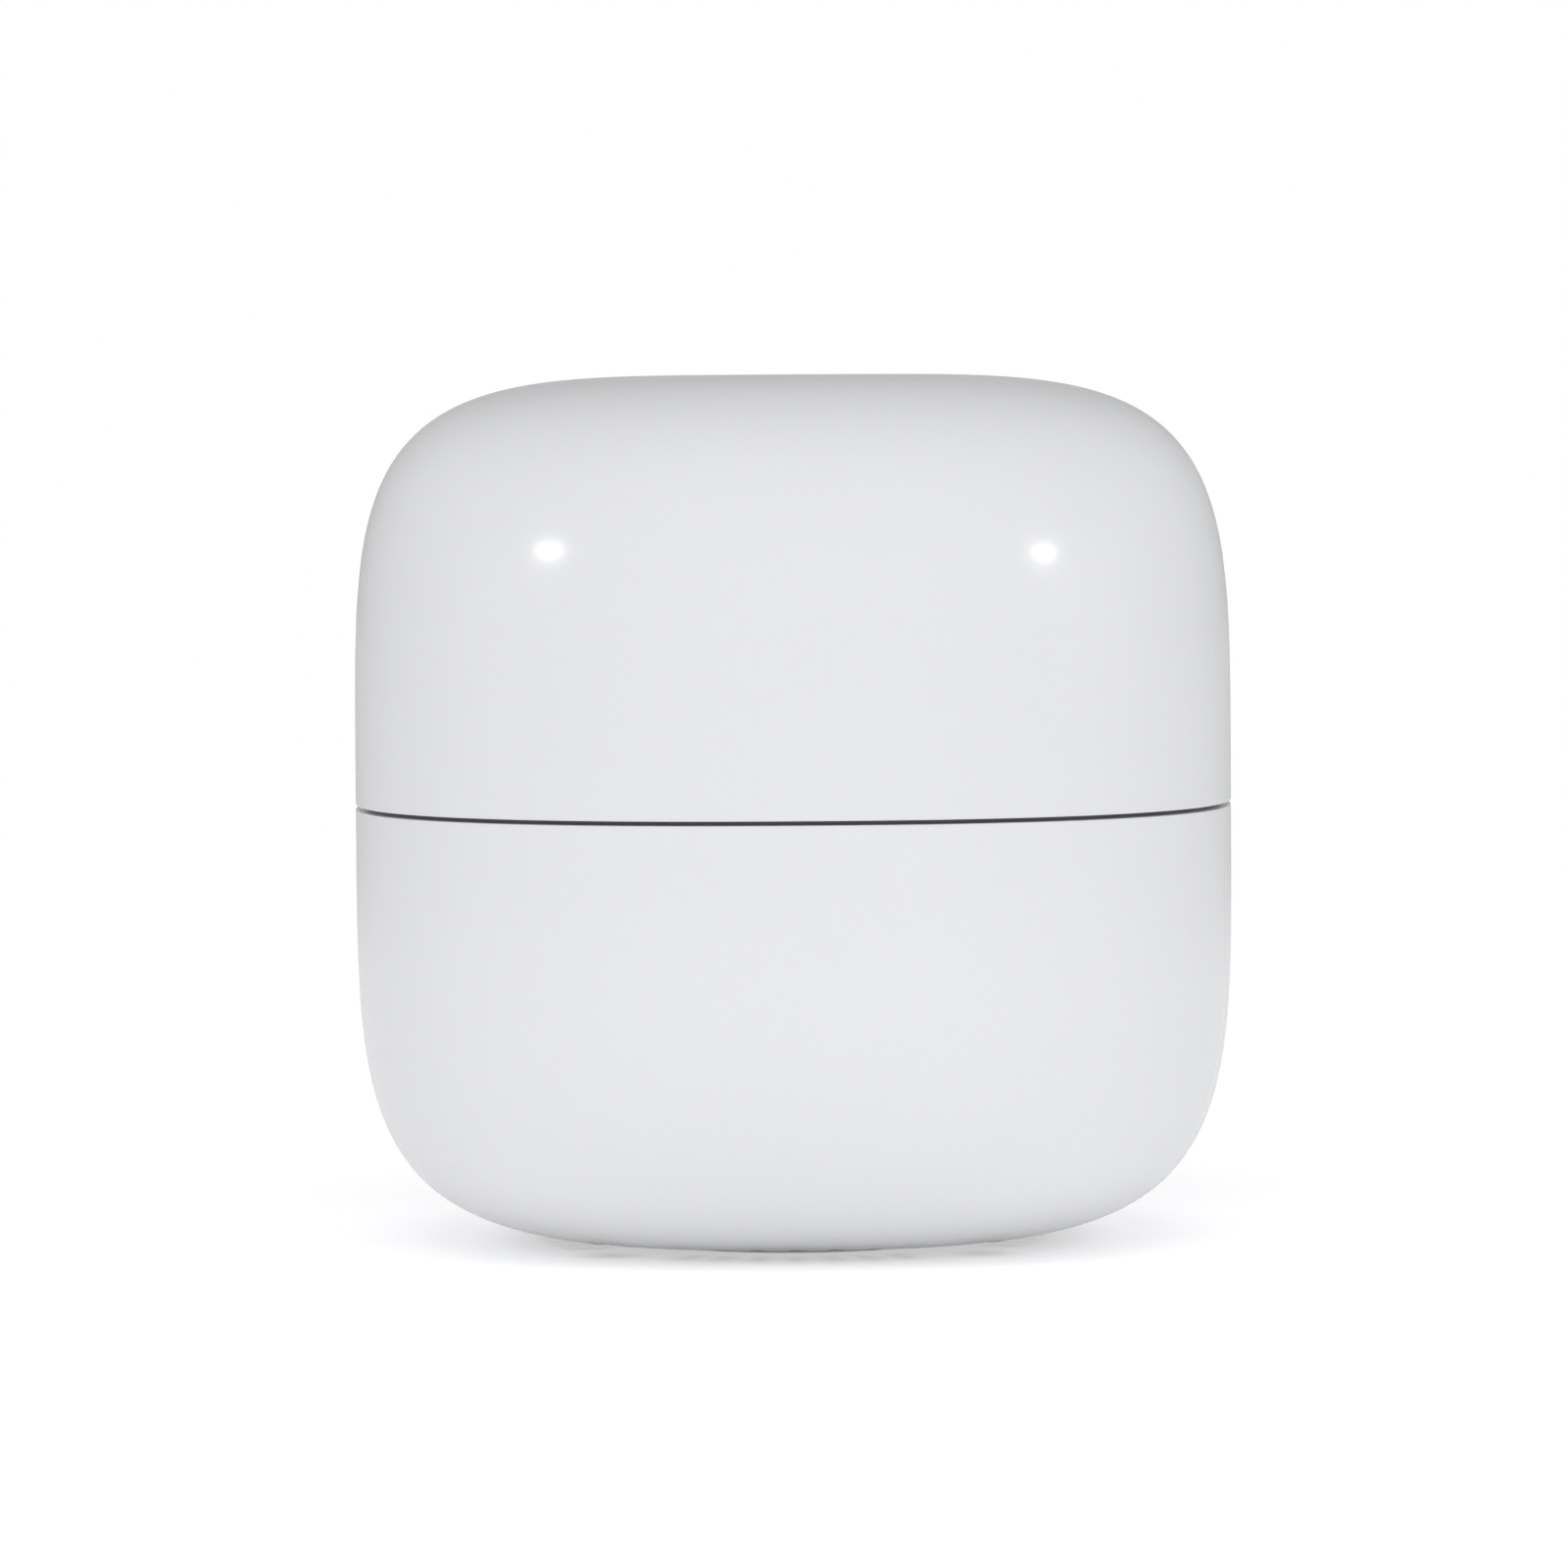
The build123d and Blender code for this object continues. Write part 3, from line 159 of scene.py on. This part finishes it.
FLOOR_RADIUS = 3.0
FLOOR_STEPS = 96
FLOOR_COLOUR = (0.86, 0.86, 0.87, 1)
FLOOR_FADE_START = 0.25
FLOOR_FADE_END = 0.8
NEAR_GLOW = (0.15, 0.38)  # as it lights the object, and as the camera sees it
FAR_GLOW = (0.5, 1.0)


def area_light(name, azimuth, elevation, width, height, power, distance):
    """A soft box that faces the middle of the object."""
    data = bpy.data.lights.new(name, "AREA")
    data.shape = "RECTANGLE"
    data.size, data.size_y = width, height
    data.energy = power
    lamp = bpy.data.objects.new(name, data)
    bpy.context.scene.collection.objects.link(lamp)
    a, e = math.radians(azimuth), math.radians(elevation)
    out = Vector((math.sin(a) * math.cos(e), -math.cos(a) * math.cos(e), math.sin(e)))
    lamp.location = Vector((0, 0, SEAM_Z)) + out * distance
    lamp.rotation_euler = out.to_track_quat("Z", "Y").to_euler()
    return lamp


def make_lights():
    for key in KEYS:
        area_light(*key, KEY_DISTANCE)
    for fill in FILLS:
        area_light(*fill, FILL_DISTANCE).visible_glossy = False


def make_world():
    """Pale all round. What the camera sees directly is white, as a cleared backdrop is."""
    world = bpy.data.worlds.new("studio")
    bpy.context.scene.world = world
    world.use_nodes = True
    tree = world.node_tree
    tree.nodes.clear()
    output = add_node(tree, "OutputWorld")
    mix = add_node(tree, "MixShader")
    seen = add_node(tree, "Background", Color=SEEN_COLOUR, Strength=1.0)
    room = add_node(tree, "Background", Strength=ROOM_STRENGTH)
    path = add_node(tree, "LightPath")
    place = add_node(tree, "TexCoord")
    split = add_node(tree, "SeparateXYZ")
    ramp = add_node(tree, "ValToRGB")
    set_ramp(ramp, 0.0, ROOM_LOW, ROOM_HIGH_AT, ROOM_HIGH)
    tree.links.new(place.outputs["Generated"], split.inputs[0])
    tree.links.new(split.outputs["Z"], ramp.inputs["Fac"])
    tree.links.new(ramp.outputs["Color"], room.inputs["Color"])
    tree.links.new(path.outputs["Is Camera Ray"], mix.inputs["Fac"])
    tree.links.new(room.outputs[0], mix.inputs[1])
    tree.links.new(seen.outputs[0], mix.inputs[2])
    tree.links.new(mix.outputs[0], output.inputs["Surface"])


def make_floor():
    """A pale table that fades into the white surroundings."""
    mesh = bpy.data.meshes.new("floor")
    turns = [2 * math.pi * step / FLOOR_STEPS for step in range(FLOOR_STEPS)]
    ring = [(FLOOR_RADIUS * math.cos(turn), FLOOR_RADIUS * math.sin(turn), 0) for turn in turns]
    mesh.from_pydata(ring, [], [list(range(FLOOR_STEPS))])
    floor = bpy.data.objects.new("floor", mesh)
    bpy.context.scene.collection.objects.link(floor)
    material = bpy.data.materials.new("floor")
    material.use_nodes = True
    tree = material.node_tree
    tree.nodes.clear()
    output = add_node(tree, "OutputMaterial")
    near = add_node(tree, "AddShader")
    diffuse = add_node(tree, "BsdfDiffuse", Color=FLOOR_COLOUR)
    glow = add_node(tree, "Emission")
    far = add_node(tree, "Emission")
    path = add_node(tree, "LightPath")
    for emission, (lighting, seen) in ((glow, NEAR_GLOW), (far, FAR_GLOW)):
        level = add_node(tree, "MapRange", To_Min=lighting, To_Max=seen)
        tree.links.new(path.outputs["Is Camera Ray"], level.inputs["Value"])
        tree.links.new(level.outputs[0], emission.inputs["Strength"])
    mix = add_node(tree, "MixShader")
    place = add_node(tree, "TexCoord")
    length = add_node(tree, "VectorMath")
    length.operation = "LENGTH"
    fade = add_node(tree, "MapRange", From_Min=FLOOR_FADE_START, From_Max=FLOOR_FADE_END)
    fade.interpolation_type = "SMOOTHSTEP"
    tree.links.new(place.outputs["Object"], length.inputs[0])
    tree.links.new(length.outputs["Value"], fade.inputs["Value"])
    tree.links.new(diffuse.outputs[0], near.inputs[0])
    tree.links.new(glow.outputs[0], near.inputs[1])
    tree.links.new(fade.outputs[0], mix.inputs["Fac"])
    tree.links.new(near.outputs[0], mix.inputs[1])
    tree.links.new(far.outputs[0], mix.inputs[2])
    tree.links.new(mix.outputs[0], output.inputs["Surface"])
    mesh.materials.append(material)


# ------------------------------------------------------------------ materials
# Noise is mostly between these values, so its look runs from one to the other.
NOISE_LOW = 0.3
NOISE_HIGH = 0.7

DRIFT_SCALE = 18  # a slow change in colour over the surface
DRIFT_DETAIL = 3
GLOSS_SCALE = 60  # a quicker change in roughness
GLOSS_DETAIL = 4
GRAIN_DETAIL = 2

MARK_SCALE = 900
MARK_HEIGHT = 1.5e-6
MARK_DETAIL = 5
MARK_LOW = 0.25
MARK_HIGH = 0.75
MARK_SHADE = 0.82  # the darkest mark, as a share of the colour
SMOOTHEST = 0.7  # as shares of the roughness
ROUGHEST = 1.3

PLASTICS = {
    "shell_white": dict(
        colour=(0.845, 0.85, 0.86), roughness=0.16, grain=1400, height=1.2e-6, spread=0.03, tint=0.012
    ),
    "base_white": dict(colour=(0.74, 0.745, 0.75), roughness=0.48, grain=2600, height=8e-6),
    "frame_grey": dict(colour=(0.12, 0.12, 0.125), roughness=0.5, grain=2600, height=8e-6),
    "foot_rubber": dict(
        colour=(0.56, 0.56, 0.57), roughness=0.7, grain=3000, height=1e-5, spread=0.08, tint=0.08
    ),
    "label_film": dict(colour=(0.66, 0.66, 0.67), roughness=0.38, grain=1500, height=2e-6),
    "jack_plastic": dict(
        colour=(0.035, 0.035, 0.038), roughness=0.42, grain=2600, height=6e-6, spread=0.06, tint=0.1
    ),
    "board_laminate": dict(
        colour=(0.015, 0.12, 0.06), roughness=0.35, grain=1800, height=4e-6, spread=0.05, tint=0.2
    ),
    "chip_epoxy": dict(
        colour=(0.025, 0.025, 0.027), roughness=0.6, grain=3500, height=8e-6, spread=0.06, tint=0.15
    ),
    "passive_ceramic": dict(
        colour=(0.4, 0.31, 0.22), roughness=0.45, grain=3000, height=4e-6, spread=0.06, tint=0.15
    ),
    "pad_silicone": dict(colour=(0.3, 0.4, 0.5), roughness=0.7, grain=2500, height=8e-6),
    "carrier_plastic": dict(colour=(0.55, 0.55, 0.55), roughness=0.5, grain=2500, height=6e-6),
    "lead_jacket": dict(colour=(0.03, 0.03, 0.03), roughness=0.4, grain=2500, height=4e-6),
    "lamp_clear": dict(colour=(0.8, 0.81, 0.81), roughness=0.15, grain=1200, height=1e-6),
    "reset_plastic": dict(colour=(0.36, 0.36, 0.37), roughness=0.42, grain=2600, height=6e-6),
}
METALS = {
    "screw_steel": dict(colour=(0.5, 0.5, 0.52), roughness=0.32),
    "jack_metal": dict(colour=(0.66, 0.66, 0.68), roughness=0.28, stretch=(1, 8, 1)),
    "contact_gold": dict(colour=(0.86, 0.62, 0.27), roughness=0.22, stretch=(1, 0.2, 1)),
    "power_contact": dict(colour=(0.7, 0.69, 0.67), roughness=0.2),
    "heatsink_metal": dict(colour=(0.7, 0.7, 0.72), roughness=0.35, stretch=(1, 0.1, 1)),
    "antenna_copper": dict(colour=(0.8, 0.45, 0.3), roughness=0.3),
}


def new_material(name):
    """A material with its node tree and the shader in it."""
    material = bpy.data.materials.new(name)
    material.use_nodes = True
    return material, material.node_tree, material.node_tree.nodes["Principled BSDF"]


def plastic(name, colour, roughness, grain, height, spread=0.05, tint=0.02):
    """Moulded plastic: a fine skin texture, a little unevenness in gloss, and a faint drift in colour."""
    material, tree, shader = new_material(name)
    place = add_node(tree, "TexCoord")
    drift = add_node(tree, "TexNoise", Scale=DRIFT_SCALE, Detail=DRIFT_DETAIL)
    shade = add_node(tree, "ValToRGB")
    set_ramp(shade, NOISE_LOW, [c * (1 - tint) for c in colour], NOISE_HIGH, colour)
    gloss = add_node(tree, "TexNoise", Scale=GLOSS_SCALE, Detail=GLOSS_DETAIL)
    uneven = add_node(tree, "MapRange", From_Min=NOISE_LOW, From_Max=NOISE_HIGH)
    uneven.inputs["To Min"].default_value = roughness - spread
    uneven.inputs["To Max"].default_value = roughness + spread
    skin = add_node(tree, "TexNoise", Scale=grain, Detail=GRAIN_DETAIL)
    bump = add_node(tree, "Bump", Distance=height, Strength=1.0)
    for texture in (drift, gloss, skin):
        tree.links.new(place.outputs["Object"], texture.inputs["Vector"])
    tree.links.new(drift.outputs[0], shade.inputs["Fac"])
    tree.links.new(shade.outputs["Color"], shader.inputs["Base Color"])
    tree.links.new(gloss.outputs[0], uneven.inputs["Value"])
    tree.links.new(uneven.outputs[0], shader.inputs["Roughness"])
    tree.links.new(skin.outputs[0], bump.inputs["Height"])
    tree.links.new(bump.outputs[0], shader.inputs["Normal"])
    return material


def metal(name, colour, roughness, stretch=(1, 1, 1)):
    """Plated or drawn metal with fine marks along one direction."""
    material, tree, shader = new_material(name)
    shader.inputs["Metallic"].default_value = 1.0
    place = add_node(tree, "TexCoord")
    mapping = add_node(tree, "Mapping", Scale=stretch)
    marks = add_node(tree, "TexNoise", Scale=MARK_SCALE, Detail=MARK_DETAIL)
    shade = add_node(tree, "ValToRGB")
    set_ramp(shade, MARK_LOW, [c * MARK_SHADE for c in colour], MARK_HIGH, colour)
    uneven = add_node(tree, "MapRange", To_Min=roughness * SMOOTHEST, To_Max=roughness * ROUGHEST)
    bump = add_node(tree, "Bump", Distance=MARK_HEIGHT)
    tree.links.new(place.outputs["Object"], mapping.inputs["Vector"])
    tree.links.new(mapping.outputs[0], marks.inputs["Vector"])
    tree.links.new(marks.outputs[0], shade.inputs["Fac"])
    tree.links.new(marks.outputs[0], uneven.inputs["Value"])
    tree.links.new(marks.outputs[0], bump.inputs["Height"])
    tree.links.new(shade.outputs["Color"], shader.inputs["Base Color"])
    tree.links.new(uneven.outputs[0], shader.inputs["Roughness"])
    tree.links.new(bump.outputs[0], shader.inputs["Normal"])
    return material


def make_materials():
    """One material for each slot of the record."""
    made = {name: plastic(name, **look) for name, look in PLASTICS.items()}
    made.update({name: metal(name, **look) for name, look in METALS.items()})
    return made


# ------------------------------------------------------------------ shells
ON_FORM = 0.002  # how far a point of the outer skin may be off the form, as a share of its size
FACES_OUT = 0.9  # the least cosine between the skin's face and the form's normal


def form_normal(point, height, exponent):
    """How far a point is off the body's form (0 is on it), and the form's outward normal there."""
    x, y, z = point.x, point.y, point.z - SEAM_Z
    plan = (abs(x) ** PLAN_EXPONENT + abs(y) ** PLAN_EXPONENT) ** (1 / PLAN_EXPONENT)
    share, rise = plan / HALF_WIDTH, abs(z) / height
    total = (share**exponent + rise**exponent) ** (1 / exponent)
    if plan == 0:
        return total - 1, Vector((0, 0, math.copysign(1, z)))
    radial = share ** (exponent - 1) / HALF_WIDTH
    normal = Vector(
        (
            radial * math.copysign((abs(x) / plan) ** (PLAN_EXPONENT - 1), x),
            radial * math.copysign((abs(y) / plan) ** (PLAN_EXPONENT - 1), y),
            math.copysign(rise ** (exponent - 1) / height, z),
        )
    )
    return total - 1, normal.normalized()


def smooth_skin(node, height, exponent):
    """A copy of a CAD node whose outer skin is shaded with the form's own normals."""
    source = nodes[node]
    mesh = source.data.copy()
    mesh.name = node + "_skin"
    piece = bpy.data.objects.new(node + "_skin", mesh)
    bpy.context.scene.collection.objects.link(piece)
    corner_normals = [Vector(n.vector) for n in mesh.corner_normals]
    form = [form_normal(v.co, height, exponent) for v in mesh.vertices]
    for polygon in mesh.polygons:
        for corner in polygon.loop_indices:
            off, normal = form[mesh.loops[corner].vertex_index]
            if abs(off) < ON_FORM and normal.dot(polygon.normal) > FACES_OUT:
                corner_normals[corner] = normal
    for polygon in mesh.polygons:
        polygon.use_smooth = True
    mesh.normals_split_custom_set(corner_normals)
    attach(piece, source["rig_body"])
    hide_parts(node)
    return piece


# ------------------------------------------------------------------ making
bpy.context.scene.view_settings.view_transform = "Standard"
make_camera()
make_world()
make_floor()
make_lights()
materials = make_materials()
skins = {
    "upper_shell": smooth_skin("upper_shell", UPPER_HEIGHT, UPPER_EXPONENT),
    "lower_shell": smooth_skin("lower_shell", LOWER_HEIGHT, LOWER_EXPONENT),
}
for node, shown in {**nodes, **skins}.items():
    shown.data.materials.clear()
    shown.data.materials.append(materials[record_slots[node]])
